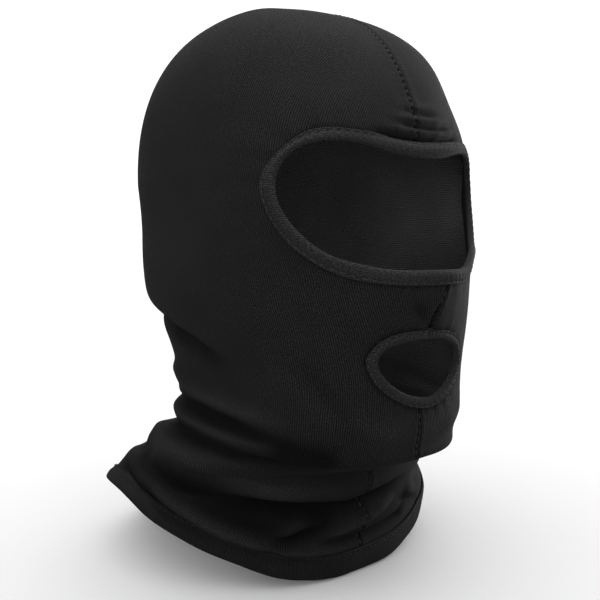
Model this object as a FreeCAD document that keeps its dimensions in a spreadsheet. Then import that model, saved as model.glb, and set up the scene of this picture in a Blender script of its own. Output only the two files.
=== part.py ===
import FreeCAD, Part
import Sketcher
import math
import os

# Balaclava in stretch jersey, worn shape, millimetres.
# Frame: origin on the floor plane at the middle of the footprint, +Z up, the
# face looks along -Y, the wearer's left is +X. YZ is the symmetry plane.

V = FreeCAD.Vector
os.makedirs("parts", exist_ok=True)
doc = FreeCAD.newDocument("balaclava")

# ---------------------------------------------------------------- dimensions
sheet = doc.addObject("Spreadsheet::Sheet", "Dims")
rows = [
    ("wall", 1.2, "jersey skin, one layer"),
    ("half_gap", 0.06, "half the gap between the two panels at the centre seam"),
    ("proud", 0.8, "binding and hem stand this far outside the skin"),
    ("tuck", 0.2, "skin to seam allowance, inside"),
    ("allow_th", 1.2, "seam allowance thickness, two raw edges pressed together"),
    ("allow_half", 4.0, "seam allowance half width"),
    ("eye_half_w", 61.5, "eye opening, clear half width"),
    ("eye_half_h", 28.6, "eye opening, clear half height"),
    ("eye_z", 188.0, "eye opening centre height"),
    ("eye_band", 6.0, "eye binding width"),
    ("mouth_half_w", 25.5, "mouth opening, clear half width"),
    ("mouth_half_h", 14.6, "mouth opening, clear half height"),
    ("mouth_z", 113.8, "mouth opening centre height"),
    ("mouth_band", 4.8, "mouth binding width"),
    ("hem_band", 15.0, "turned-up hem band, height over the floor at the front"),
    ("arch_y", 29.5, "hem arch over the shoulder, centre"),
    ("arch_half", 73.0, "hem arch, half chord on the floor"),
    ("arch_rise", 43.0, "hem arch, rise at the shoulder"),
    ("band_rise", 39.0, "top of the hem band, rise above its front level"),
    ("stitch_rad", 0.28, "sewing thread radius"),
    ("stitch_len", 2.2, "length of one visible stitch"),
    ("stitch_pitch", 3.6, "stitch spacing"),
]
# horizontal sections of the skin: height, front y, back y, half width, and how
# much of an outward offset shows as width (wr) and as height (wz) there
secs = [
    (0.0, -55.5, 115.5, 100.0, 1.00, 0.00),
    (11.0, -57.0, 111.5, 100.0, 1.00, 0.00),
    (22.0, -58.5, 107.0, 99.6, 1.00, 0.00),
    (33.0, -60.5, 101.0, 98.5, 1.00, 0.00),
    (44.0, -63.0, 93.0, 95.5, 1.00, 0.00),
    (53.0, -66.0, 83.5, 89.0, 1.00, 0.00),
    (61.0, -76.0, 72.5, 80.0, 1.00, 0.00),
    (67.0, -90.0, 66.0, 74.0, 1.00, 0.00),
    (74.0, -98.5, 62.5, 70.0, 1.00, 0.00),
    (82.0, -101.0, 60.5, 67.5, 1.00, 0.00),
    (92.0, -101.0, 58.5, 66.5, 1.00, 0.00),
    (105.0, -101.2, 57.0, 68.0, 1.00, 0.00),
    (120.0, -104.2, 60.0, 71.5, 1.00, 0.00),
    (133.0, -108.0, 65.0, 76.0, 1.00, 0.00),
    (145.0, -112.0, 74.0, 79.2, 1.00, 0.00),
    (158.0, -114.4, 81.0, 80.3, 1.00, 0.00),
    (170.0, -111.5, 84.5, 79.6, 1.00, 0.00),
    (183.0, -106.9, 86.1, 78.6, 1.00, 0.00),
    (208.0, -100.3, 88.1, 79.0, 1.00, 0.00),
    (233.0, -96.5, 82.9, 78.0, 0.97, 0.25),
    (255.0, -86.4, 69.2, 74.5, 0.85, 0.55),
    (272.0, -72.3, 50.2, 66.5, 0.65, 0.80),
    (284.0, -55.8, 28.5, 52.5, 0.45, 0.95),
    (291.0, -36.5, 7.5, 33.0, 0.25, 1.00),
    (293.2, -23.5, -5.5, 15.0, 0.10, 1.00),
]
for i, s in enumerate(secs):
    z, yf, yb, a, wr, wz = s
    rows += [
        ("sec%02d_z" % i, z, "section height"),
        ("sec%02d_y" % i, (yf + yb) / 2.0, "section centre, Y"),
        ("sec%02d_w" % i, a, "section half width, X"),
        ("sec%02d_d" % i, (yb - yf) / 2.0, "section half depth, Y"),
        ("sec%02d_wr" % i, wr, "share of an offset taken as width"),
        ("sec%02d_wz" % i, wz, "share of an offset taken as height"),
    ]
ALIASES = {}
for n, (alias, value, note) in enumerate(rows, start=1):
    sheet.set("A%d" % n, str(value))
    alias = alias.replace("sec", "sec_")
    sheet.set("B%d" % n, note)
    sheet.setAlias("A%d" % n, alias)
    ALIASES[alias] = "A%d" % n
doc.recompute()


def dim(name):
    return float(sheet.get(name))


# --------------------------------------------------------- base outline curves
def closed_curve(name, pts):
    """A closed smooth outline, 100 mm to each side, drawn in its own sketch."""
    sk = doc.addObject("Sketcher::SketchObject", name)
    c = Part.BSplineCurve()
    c.interpolate([V(p[0], p[1], 0) for p in pts], PeriodicFlag=True)
    sk.addGeometry(c, False)
    return sk


def super_pt(ang, n):
    """Point of a unit superellipse, 100 mm half size."""
    c, s = math.cos(ang), math.sin(ang)
    f = lambda q: math.copysign(abs(q) ** (2.0 / n), q)
    return f(s), f(c)


# body section: the face side is narrower than the back of the head
N = 36
pts = []
for k in range(N):
    t = 2.0 * math.pi * (k + 13) / N
    x, y = super_pt(t, 2.06 if math.cos(t) > 0 else 2.45)
    pts.append((100.0 * x, -100.0 * y))
unit_section = closed_curve("unit_section", pts)

# eye opening: wide, with a flat dipped top edge and a deeper middle below
half = [(0.0, 0.82), (0.28, 0.86), (0.5, 0.95), (0.68, 1.0), (0.84, 0.94), (0.94, 0.78),
        (0.985, 0.55), (1.0, 0.28), (0.985, 0.05), (0.955, -0.18), (0.9, -0.4), (0.8, -0.63),
        (0.67, -0.82), (0.5, -0.93), (0.3, -0.985), (0.12, -1.0)]
pts = [(100.0 * x, 100.0 * z) for x, z in half] + [(-100.0 * x, 100.0 * z) for x, z in reversed(half[1:])]
unit_eye = closed_curve("unit_eye", pts)

# mouth opening: a rounded D lying on its back, flatter along the top
half = [(0.0, 1.0), (0.3, 0.97), (0.58, 0.86), (0.82, 0.63), (0.96, 0.32), (1.0, 0.05),
        (0.95, -0.25), (0.82, -0.52), (0.62, -0.77), (0.36, -0.94), (0.12, -1.0)]
pts = [(100.0 * x, 100.0 * z) for x, z in half] + [(-100.0 * x, 100.0 * z) for x, z in reversed(half[1:])]
unit_mouth = closed_curve("unit_mouth", pts)
doc.recompute()


# ------------------------------------------------------------------ skin forms
def form(name, offset):
    """Closed loft of the whole head and neck, grown by the offset expression."""
    sections = []
    for i in range(len(secs)):
        p = "Dims.sec_%02d_" % i
        s = doc.addObject("Part::Scale", "%s_%02d" % (name, i))
        s.Base = unit_section
        s.Uniform = False
        s.ZScale = 1.0
        s.setExpression("XScale", "(%sw + (%s) * %swr) / 100" % (p, offset, p))
        s.setExpression("YScale", "(%sd + (%s) * %swr) / 100" % (p, offset, p))
        s.setExpression("Placement.Base.y", "(%sy) * 1 mm" % p)
        s.setExpression("Placement.Base.z", "(%sz + (%s) * %swz) * 1 mm" % (p, offset, p))
        sections.append(s)
    f = doc.addObject("Part::Loft", name)
    f.Sections = sections
    f.Solid = True
    f.Ruled = False
    f.Closed = False
    return f


form_band_out = form("form_band_out", "Dims.proud")
form_skin_out = form("form_skin_out", "0")
form_skin_in = form("form_skin_in", "0 - Dims.wall")
form_tuck = form("form_tuck", "0 - Dims.wall - Dims.tuck")
form_inner = form("form_inner", "0 - Dims.wall - Dims.tuck - Dims.allow_th")
doc.recompute()


# ---------------------------------------------------------------- small tools
def box(name, x, y, z):
    """Box between expressions given as (low, high) pairs."""
    b = doc.addObject("Part::Box", name)
    for axis, prop, pair in (("x", "Length", x), ("y", "Width", y), ("z", "Height", z)):
        b.setExpression("Placement.Base." + axis, "(%s) * 1 mm" % pair[0])
        b.setExpression(prop, "((%s) - (%s)) * 1 mm" % (pair[1], pair[0]))
    return b


def cut(name, base, tool):
    c = doc.addObject("Part::Cut", name)
    c.Base = base
    c.Tool = tool
    return c


def common(name, base, tool):
    c = doc.addObject("Part::Common", name)
    c.Base = base
    c.Tool = tool
    return c


def opening(name, unit, half_w, half_h, z, grow):
    """Outline scaled to size and pushed forward through the face."""
    s = doc.addObject("Part::Scale", name + "_outline")
    s.Base = unit
    s.Uniform = False
    s.ZScale = 1.0
    s.setExpression("XScale", "(%s + %s) / 100" % (half_w, grow))
    s.setExpression("YScale", "(%s + %s) / 100" % (half_h, grow))
    s.Placement = FreeCAD.Placement(V(0, 0, 0), FreeCAD.Rotation(V(1, 0, 0), 90))
    s.setExpression("Placement.Base.z", "(%s) * 1 mm" % z)
    e = doc.addObject("Part::Extrusion", name)
    e.Base = s
    e.DirMode = "Custom"
    e.Dir = V(0, -1, 0)
    e.LengthFwd = 160.0
    e.Solid = True
    return e


def arch(name, level, rise):
    """Everything below a line that runs level front and back and arches over the shoulder."""
    sk = doc.addObject("Sketcher::SketchObject", name + "_profile")
    sk.Placement = FreeCAD.Placement(V(0, 0, 0), FreeCAD.Rotation(0.5, 0.5, 0.5, 0.5))
    y0 = dim("arch_y") - dim("arch_half")
    y1 = dim("arch_y") + dim("arch_half")
    lv = float(level(dim))
    rs = dim(rise)
    g = lambda a, b: sk.addGeometry(Part.LineSegment(V(a[0], a[1], 0), V(b[0], b[1], 0)), False)
    l0 = g((-170, -20), (-170, lv))
    l1 = g((-170, lv), (y0, lv))
    rad = (dim("arch_half") ** 2 + rs ** 2) / (2 * rs)
    cen = V((y0 + y1) / 2, lv + rs - rad, 0)
    a0 = math.atan2(lv - cen.y, y1 - cen.x)
    a1 = math.atan2(lv - cen.y, y0 - cen.x)
    ar = sk.addGeometry(Part.ArcOfCircle(Part.Circle(cen, V(0, 0, 1), rad), a0, a1), False)
    l2 = g((y1, lv), (190, lv))
    l3 = g((190, lv), (190, -20))
    l4 = g((190, -20), (-170, -20))
    C = Sketcher.Constraint
    a_l, a_r = 2, 1
    cons = [
        C("Coincident", l0, 2, l1, 1), C("Coincident", l1, 2, ar, a_l), C("Coincident", ar, a_r, l2, 1),
        C("Coincident", l2, 2, l3, 1), C("Coincident", l3, 2, l4, 1), C("Coincident", l4, 2, l0, 1),
        C("Vertical", l0), C("Horizontal", l1), C("Horizontal", l2), C("Vertical", l3), C("Horizontal", l4),
    ]
    sk.addConstraint(cons)
    named = [
        ("outer_front", C("DistanceX", l0, 1, -1, 1, 170.0), None),
        ("outer_back", C("DistanceX", -1, 1, l3, 1, 190.0), None),
        ("below", C("DistanceY", l4, 2, -1, 1, 20.0), None),
        ("arc_front", C("DistanceX", l1, 2, -1, 1, -y0), "Dims.arch_half - Dims.arch_y"),
        ("arc_back", C("DistanceX", -1, 1, l2, 1, y1), "Dims.arch_half + Dims.arch_y"),
        ("arc_radius", C("Radius", ar, rad),
         "(Dims.arch_half ^ 2 + Dims.%s ^ 2) / (2 * Dims.%s)" % (rise, rise)),
    ]
    for cname, c, expr in named:
        idx = sk.addConstraint(c)
        sk.renameConstraint(idx, cname)
        if expr:
            sk.setExpression("Constraints." + cname, "(%s) * 1 mm" % expr)
    if lv > 0:
        idx = sk.addConstraint(C("DistanceY", -1, 1, l1, 1, lv))
        sk.renameConstraint(idx, "level")
        sk.setExpression("Constraints.level", "Dims.hem_band * 1 mm")
    else:
        sk.addConstraint(C("PointOnObject", l1, 1, -1))
    e = doc.addObject("Part::Extrusion", name)
    e.Base = sk
    e.DirMode = "Custom"
    e.Dir = V(1, 0, 0)
    e.LengthFwd = 150.0
    e.LengthRev = 150.0
    e.Solid = True
    return e


eye_clear = opening("eye_clear", unit_eye, "Dims.eye_half_w", "Dims.eye_half_h", "Dims.eye_z", "0")
eye_edge = opening("eye_edge", unit_eye, "Dims.eye_half_w", "Dims.eye_half_h", "Dims.eye_z", "Dims.eye_band")
eye_cut = opening("eye_cut", unit_eye, "Dims.eye_half_w", "Dims.eye_half_h", "Dims.eye_z", "Dims.eye_band + 0.08")
mouth_clear = opening("mouth_clear", unit_mouth, "Dims.mouth_half_w", "Dims.mouth_half_h", "Dims.mouth_z", "0")
mouth_edge = opening("mouth_edge", unit_mouth, "Dims.mouth_half_w", "Dims.mouth_half_h", "Dims.mouth_z", "Dims.mouth_band")
mouth_cut = opening("mouth_cut", unit_mouth, "Dims.mouth_half_w", "Dims.mouth_half_h", "Dims.mouth_z", "Dims.mouth_band + 0.08")
under_hem = arch("under_hem", lambda d: 0.0, "arch_rise")
under_band = arch("under_band", lambda d: d("hem_band"), "band_rise")
doc.recompute()

# --------------------------------------------------------------------- panels
skin = cut("skin_shell", form_skin_out, form_skin_in)
skin = cut("skin_less_eye", skin, eye_cut)
skin = cut("skin_less_mouth", skin, mouth_cut)
skin = cut("skin_less_hem", skin, under_band)
right_space = box("right_space", ("0 - 150", "0 - Dims.half_gap"), ("0 - 200", "200"), ("0 - 10", "320"))
left_space = box("left_space", ("Dims.half_gap", "150"), ("0 - 200", "200"), ("0 - 10", "320"))
right_panel = common("right_panel", skin, right_space)
left_panel = common("left_panel", skin, left_space)

# ------------------------------------------------------------ bindings and hem
band_shell = cut("band_shell", form_band_out, form_inner)
ring = common("eye_ring_full", band_shell, eye_edge)
eye_binding = cut("eye_binding", ring, eye_clear)
ring = common("mouth_ring_full", band_shell, mouth_edge)
mouth_binding = cut("mouth_binding", ring, mouth_clear)

hem_full = common("hem_full", cut("hem_shell", form_skin_out, form_inner), under_band)
neck_hem = cut("neck_hem", hem_full, under_hem)

# ----------------------------------------------------------- seam allowances
strip = cut("tuck_shell", form_tuck, form_inner)
seam_slab = box("seam_slab", ("0 - Dims.allow_half", "Dims.allow_half"), ("0 - 200", "200"), ("0 - 10", "320"))
strip = common("seam_strip", strip, seam_slab)
strip = cut("seam_strip_no_hem", strip, under_band)

face_block = box("face_block", ("0 - 20", "20"), ("0 - 200", "0"),
                 ("0 - 20", "Dims.eye_z + (Dims.eye_half_h + Dims.eye_band) * 0.82 + 2"))
crown_seam_allowance = cut("crown_seam_allowance", strip, face_block)
nose_block = box("nose_block", ("0 - 20", "20"), ("0 - 200", "0"),
                 ("Dims.mouth_z + Dims.mouth_half_h + Dims.mouth_band + 0.6",
                  "Dims.eye_z - Dims.eye_half_h - Dims.eye_band - 0.6"))
nose_seam_allowance = common("nose_seam_allowance", strip, nose_block)
chin_block = box("chin_block", ("0 - 20", "20"), ("0 - 200", "0"),
                 ("0 - 20", "Dims.mouth_z - Dims.mouth_half_h - Dims.mouth_band - 0.6"))
chin_seam_allowance = common("chin_seam_allowance", strip, chin_block)
doc.recompute()


# --------------------------------------------------------------- sewing thread
def skin_point(solid, x, z, side=-1):
    """Point where a horizontal line along Y meets the solid, front or back."""
    line = Part.makeLine(V(x, side * 180, z), V(x, 0, z))
    seg = solid.common(line)
    ys = [v.Point.y for v in seg.Vertexes]
    if not ys:
        return None
    return V(x, min(ys) if side < 0 else max(ys), z)


def stitch(a, b, out, lift):
    """One straight stitch lying from a to b, held off the cloth."""
    a = a + out * lift
    b = b + out * lift
    return Part.makeCylinder(dim("stitch_rad"), (b - a).Length, a, b - a)


def thread_feature(name, solids):
    f = doc.addObject("Part::Feature", name)
    f.Shape = Part.makeCompound(solids)
    return f


def dashes(points, centre, lift):
    """Stitches along an ordered list of close points, by arc length."""
    acc, out = 0.0, []
    pitch, length = dim("stitch_pitch"), dim("stitch_len")
    start, s_prev = None, 0.0
    total = [0.0]
    for p, q in zip(points, points[1:]):
        total.append(total[-1] + (q - p).Length)

    def at(s):
        for j in range(1, len(total)):
            if total[j] >= s:
                t = (s - total[j - 1]) / max(total[j] - total[j - 1], 1e-9)
                return points[j - 1] + (points[j] - points[j - 1]) * t, (points[j] - points[j - 1])
        return points[-1], points[-1] - points[-2]

    s = 0.6
    while s + length < total[-1] - 0.6:
        a, ta = at(s)
        b, tb = at(s + length)
        side = centre(a)
        out.append(stitch(a, b, side, lift))
        s += pitch
    return out


section_wires = form_skin_out.Shape.slice(V(1, 0, 0), 0.0)
wire = max(section_wires, key=lambda w: w.Length)
prof = wire.discretize(Distance=1.5)
lift = dim("stitch_rad") + 0.12


def radial(p):
    n = V(0, p.y - 0.0, p.z - 175.0)
    i = min(range(len(prof)), key=lambda k: (prof[k] - p).Length)
    t = prof[(i + 1) % len(prof)] - prof[i - 1]
    m = V(0, t.z, -t.y)
    m.normalize()
    return m if m.dot(n) > 0 or p.z < 80 and m.dot(V(0, p.y - 10, 0)) > 0 else m * -1


def select(keep):
    """Longest run of profile points that pass the test, in order."""
    n = len(prof)
    flags = [keep(p) for p in prof]
    if all(flags):
        return prof
    first = next(k for k in range(n) if not flags[k])
    best, run = [], []
    for k in range(first, first + n + 1):
        if flags[k % n]:
            run.append(prof[k % n])
        else:
            if len(run) > len(best):
                best = run
            run = []
    return best


eye_top = dim("eye_z") + (dim("eye_half_h") + dim("eye_band")) * 0.82 + 1.5
eye_low = dim("eye_z") - dim("eye_half_h") - dim("eye_band") - 1.0
mouth_top = dim("mouth_z") + dim("mouth_half_h") + dim("mouth_band") + 1.0
mouth_low = dim("mouth_z") - dim("mouth_half_h") - dim("mouth_band") - 1.0
hem_top = dim("hem_band") + 1.0
crown_pts = select(lambda p: (p.y > 0 and p.z > hem_top) or p.z > eye_top)
nose_pts = select(lambda p: p.y < 0 and mouth_top < p.z < eye_low)
chin_pts = select(lambda p: p.y < 0 and hem_top < p.z < mouth_low)
crown_seam_thread = thread_feature("crown_seam_thread", dashes(crown_pts, radial, lift))
nose_seam_thread = thread_feature("nose_seam_thread", dashes(nose_pts, radial, lift))
chin_seam_thread = thread_feature("chin_seam_thread", dashes(chin_pts, radial, lift))


def ring_points(outline, solid, shrink, cx, cz):
    """Outline pulled in by shrink and dropped on the front of the solid."""
    w = outline.Shape.Wires[0]
    flat = w.discretize(Distance=1.8)
    pts = []
    for k in range(len(flat)):
        t = flat[(k + 1) % len(flat)] - flat[k - 1]
        m = V(t.z, 0, -t.x)
        if m.Length < 1e-9:
            continue
        m.normalize()
        if m.dot(flat[k] - V(cx, 0, cz)) > 0:
            m = m * -1
        q = flat[k] + m * shrink
        p = skin_point(solid, q.x, q.z)
        if p is not None:
            pts.append(p)
    return pts


def outward(solid):
    def f(p):
        e = 1.0
        px = skin_point(solid, p.x + e, p.z)
        mx = skin_point(solid, p.x - e, p.z)
        pz = skin_point(solid, p.x, p.z + e)
        mz = skin_point(solid, p.x, p.z - e)
        n = (px - mx).cross(pz - mz)
        n.normalize()
        return n if n.y < 0 else n * -1
    return f


front_form = form_band_out.Shape
eye_outline = doc.getObject("eye_edge_outline")
mouth_outline = doc.getObject("mouth_edge_outline")
pts = ring_points(eye_outline, front_form, 1.1, 0.0, dim("eye_z"))
eye_stitch_thread = thread_feature("eye_stitch_thread", dashes(pts, outward(front_form), lift + 0.03))
pts = ring_points(mouth_outline, front_form, 1.1, 0.0, dim("mouth_z"))
mouth_stitch_thread = thread_feature("mouth_stitch_thread", dashes(pts, outward(front_form), lift + 0.06))


# hem row: below the top of the band, all the way round
def band_line(y):
    lv, rs, h, y0 = dim("hem_band"), dim("band_rise"), dim("arch_half"), dim("arch_y")
    rad = (h * h + rs * rs) / (2 * rs)
    d = y - y0
    if abs(d) >= h:
        return lv
    return lv + math.sqrt(rad * rad - d * d) - (rad - rs)


def section_at(z):
    """Half width, half depth and centre of the skin at a height, from the sheet."""
    for i in range(len(secs) - 1):
        z0, z1 = dim("sec_%02d_z" % i), dim("sec_%02d_z" % (i + 1))
        if z0 <= z <= z1:
            t = (z - z0) / (z1 - z0)
            g = lambda k: dim("sec_%02d_%s" % (i, k)) * (1 - t) + dim("sec_%02d_%s" % (i + 1, k)) * t
            return g("w"), g("d"), g("y")
    return None


def hem_ring():
    shape = form_skin_out.Shape
    pts, outs = [], []
    n = 200
    for k in range(n + 1):
        t = 2 * math.pi * k / n
        z = 12.0
        for _ in range(6):
            w, d, yc = section_at(z)
            y = yc - d * math.cos(t)
            z = band_line(y) - 2.6
        dirv = V(math.sin(t), -math.cos(t) * 0.9, 0)
        dirv.normalize()
        mid = V(0, yc, z)
        seg = shape.common(Part.makeLine(mid, mid + dirv * 170))
        far = max((v.Point for v in seg.Vertexes), key=lambda q: (q - mid).Length)
        pts.append(far)
        outs.append(dirv)
    return pts, outs


pts, outs = hem_ring()


def hem_out(p):
    i = min(range(len(pts)), key=lambda k: (pts[k] - p).Length)
    o = V(outs[i].x, outs[i].y, 0.55)
    o.normalize()
    return o


hem_stitch_thread = thread_feature("hem_stitch_thread", dashes(pts, hem_out, lift + 0.1))
doc.recompute()

# ---------------------------------------------------------------------- output
nodes = [
    right_panel, left_panel, eye_binding, mouth_binding, neck_hem,
    crown_seam_allowance, nose_seam_allowance, chin_seam_allowance,
    crown_seam_thread, nose_seam_thread, chin_seam_thread,
    eye_stitch_thread, mouth_stitch_thread, hem_stitch_thread,
]
for o in doc.Objects:
    if "Invalid" in o.State or "Error" in o.State:
        raise RuntimeError("%s is %s" % (o.Name, o.State))
for o in nodes:
    o.Label = o.Name
    s = o.Shape
    if s.isNull() or not s.isValid() or not s.Solids:
        raise RuntimeError(o.Name + " has no valid solid")
    s.exportStep("parts/%s.step" % o.Name)
    bb = s.BoundBox
    print("%-22s solids %3d vol %9.1f box %.1f..%.1f %.1f..%.1f %.1f..%.1f" % (
        o.Name, len(s.Solids), s.Volume, bb.XMin, bb.XMax, bb.YMin, bb.YMax, bb.ZMin, bb.ZMax))
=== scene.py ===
import math

import bpy
import numpy as np
from mathutils import Matrix, Vector


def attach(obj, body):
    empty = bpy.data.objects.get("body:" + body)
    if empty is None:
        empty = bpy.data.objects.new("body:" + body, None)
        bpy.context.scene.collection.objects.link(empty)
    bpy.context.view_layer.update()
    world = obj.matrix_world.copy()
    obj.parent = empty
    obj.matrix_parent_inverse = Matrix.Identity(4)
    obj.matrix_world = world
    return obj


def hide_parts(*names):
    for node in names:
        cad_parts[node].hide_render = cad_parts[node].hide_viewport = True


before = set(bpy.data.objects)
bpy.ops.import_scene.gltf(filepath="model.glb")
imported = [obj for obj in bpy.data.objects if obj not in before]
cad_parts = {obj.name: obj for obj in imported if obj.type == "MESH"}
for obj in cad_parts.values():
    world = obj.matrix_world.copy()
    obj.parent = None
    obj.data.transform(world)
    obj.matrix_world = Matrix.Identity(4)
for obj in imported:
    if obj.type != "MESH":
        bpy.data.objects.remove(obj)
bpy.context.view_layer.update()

MM = 0.001
rng = np.random.default_rng(7)


# ------------------------------------------------------------------ the worn shape, in mm
def nspline(xk, yk):
    xk = np.asarray(xk, float)
    yk = np.asarray(yk, float)
    n = len(xk)
    h = np.diff(xk)
    a = np.zeros((n, n))
    r = np.zeros(n)
    a[0, 0] = a[-1, -1] = 1
    for i in range(1, n - 1):
        a[i, i - 1] = h[i - 1]
        a[i, i] = 2 * (h[i - 1] + h[i])
        a[i, i + 1] = h[i]
        r[i] = 6 * ((yk[i + 1] - yk[i]) / h[i] - (yk[i] - yk[i - 1]) / h[i - 1])
    m = np.linalg.solve(a, r)

    def f(x):
        x = np.clip(np.asarray(x, float), xk[0], xk[-1])
        i = np.clip(np.searchsorted(xk, x) - 1, 0, n - 2)
        p, q, hh = xk[i + 1] - x, x - xk[i], h[i]
        return (m[i] * p**3 / (6 * hh) + m[i + 1] * q**3 / (6 * hh)
                + (yk[i] / hh - m[i] * hh / 6) * p + (yk[i + 1] / hh - m[i + 1] * hh / 6) * q)
    return f


# height, front y, back y, half width, front roundness, back roundness, shift of the widest point
TABLE = np.array([
    (0, -55.5, 115.5, 99.0, 2.0, 2.45, 4), (11, -57.0, 111.5, 99.0, 2.0, 2.45, 5),
    (22, -58.5, 107.0, 99.0, 1.97, 2.45, 6), (33, -60.5, 101.0, 98.5, 1.95, 2.45, 8),
    (44, -63.0, 93.0, 96.0, 1.95, 2.45, 11), (53, -66.0, 83.5, 89.5, 1.95, 2.45, 13),
    (61, -70.5, 72.5, 80.0, 2.0, 2.5, 14), (67, -93.0, 66.0, 74.0, 2.1, 2.55, 13),
    (74, -99.5, 62.5, 70.0, 2.3, 2.6, 12), (82, -101.0, 60.5, 67.5, 2.45, 2.7, 10),
    (92, -101.0, 58.5, 66.5, 2.5, 2.75, 9), (105, -101.2, 57.0, 68.0, 2.4, 2.75, 8),
    (120, -104.2, 60.0, 71.5, 2.2, 2.75, 8), (133, -108.3, 65.0, 76.0, 1.98, 2.75, 8),
    (145, -112.5, 74.0, 79.2, 1.82, 2.75, 8), (158, -114.8, 81.0, 80.3, 1.78, 2.75, 8),
    (183, -106.9, 86.1, 78.4, 2.26, 2.75, 8), (208, -100.3, 88.1, 79.0, 2.42, 2.75, 8),
])
COLS = [nspline(TABLE[:, 0], TABLE[:, k]) for k in range(1, 7)]
Z0, TOP, YP = 208.0, 293.6, -19.5
M_FRONT, M_BACK, M_SIDE = 1.96, 1.94, 3.23


def params(z):
    z = np.asarray(z, float)
    zz = np.clip(z, 0, Z0)
    yf, yb, a, nf, nb, sh = [f(zz) for f in COLS]
    t = np.clip((z - Z0) / (TOP - Z0), 0, 1)
    e = lambda m: np.maximum(1 - t**m, 0) ** (1 / m)
    return YP + (yf - YP) * e(M_FRONT), YP + (yb - YP) * e(M_BACK), a * e(M_SIDE), nf, nb, sh * e(2.0)


def base(t, z):
    yf, yb, a, nf, nb, sh = params(z)
    c, s = np.cos(t), np.sin(t)
    ym = (yf + yb) / 2 + sh
    n = np.where(c >= 0, nf, nb)
    x = a * np.sign(s) * np.abs(s) ** (2 / n)
    y = ym + np.where(c >= 0, yf - ym, yb - ym) * np.abs(c) ** (2 / n)
    return np.stack([x, y, np.broadcast_to(z, x.shape)], -1)


hem_of_y = nspline([-55.5, -52.5, -44.5, -30.5, -12.5, 29.5, 72.5, 90, 103, 115.5],
                   [0, 2.2, 8.5, 17.8, 27.5, 41.8, 34, 25, 14, 0])
TF = np.linspace(-np.pi, np.pi, 1441)
_z = np.full_like(TF, 10.0)
for _ in range(80):
    _z = 0.6 * _z + 0.4 * np.maximum(hem_of_y(base(TF, _z)[:, 1]), 0)
HEM = _z.copy()
for _ in range(3):
    HEM = np.convolve(np.r_[HEM[-9:-1], HEM, HEM[1:9]], np.ones(9) / 9, "same")[8:-8]


def hem(t):
    return np.interp((t + np.pi) % (2 * np.pi) - np.pi, TF, HEM)


BL = 96.0


def height(t, w):
    """w counts from the hem edge at the bottom and is plain height from 96 mm up"""
    return w + hem(t) * np.clip(1 - w / BL, 0, 1.1)


# ------------------------------------------------------------------ folds
RM = 80.0


def poly_dist(t, z, pts):
    """distance to a line of (degrees, height) points, in mm, and how far along it, 0 to 1"""
    p = np.array([(math.radians(a) * RM, b) for a, b in pts])
    q = np.stack([t * RM, z], -1)
    seg = np.linalg.norm(np.diff(p, axis=0), axis=1)
    cum = np.r_[0, np.cumsum(seg)]
    best = np.full(t.shape, 1e9)
    along = np.zeros(t.shape)
    side = np.zeros(t.shape)
    for i in range(len(p) - 1):
        d = p[i + 1] - p[i]
        k = np.clip(((q - p[i]) @ d) / (d @ d), 0, 1)
        r = q - (p[i] + k[..., None] * d)
        dd = np.hypot(r[..., 0], r[..., 1])
        m = dd < best
        best = np.where(m, dd, best)
        along = np.where(m, (cum[i] + k * seg[i]) / cum[-1], along)
        side = np.where(m, np.sign(d[0] * r[..., 1] - d[1] * r[..., 0]), side)
    return best, along, side


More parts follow.
